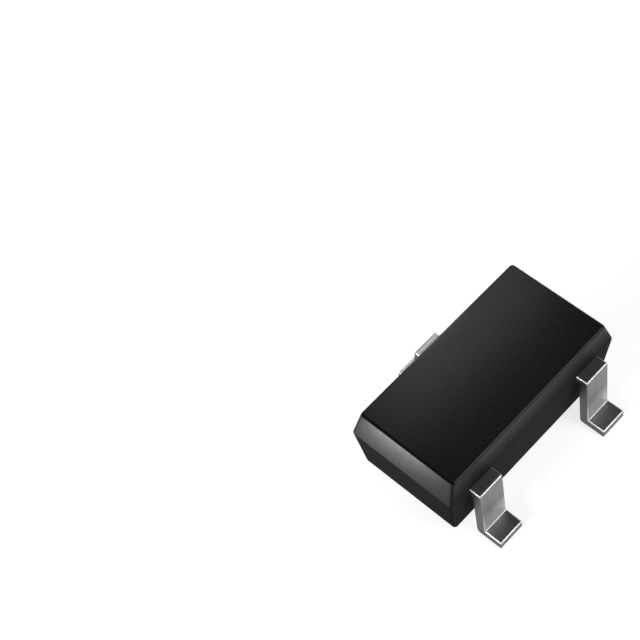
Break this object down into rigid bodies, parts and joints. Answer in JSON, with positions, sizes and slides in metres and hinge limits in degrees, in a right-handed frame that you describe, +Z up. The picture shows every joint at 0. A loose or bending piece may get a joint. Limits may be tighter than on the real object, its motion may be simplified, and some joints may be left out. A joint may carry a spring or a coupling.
{
  "type": "tvs diode array",
  "caption": "Surface-mount diode array in a moulded black package with gull-wing leads on both long sides, for clamping voltage surges.",
  "frame": {"origin": "middle of the package, on the plane that the three feet stand on", "axes": "+X along the package, from lead 1 towards lead 2; +Y towards the side with the single lead; +Z up, out of the top face"},
  "size_m": [0.003, 0.0024, 0.0012],
  "materials": {
    "mould_epoxy": "matte",
    "tinned_lead": "satin",
    "conductive_adhesive": "matte",
    "silicon": "polished",
    "pad_metal": "satin",
    "wire_metal": "polished"
  },
  "bodies": {
    "root": {"mould_body": "mould_epoxy", "lead_1": "tinned_lead", "lead_2": "tinned_lead", "lead_3": "tinned_lead", "die_attach": "conductive_adhesive", "die": "silicon", "anode_pad_1": "pad_metal", "anode_pad_2": "pad_metal", "bond_wire_1": "wire_metal", "bond_wire_2": "wire_metal"}
  },
  "joints": []
}
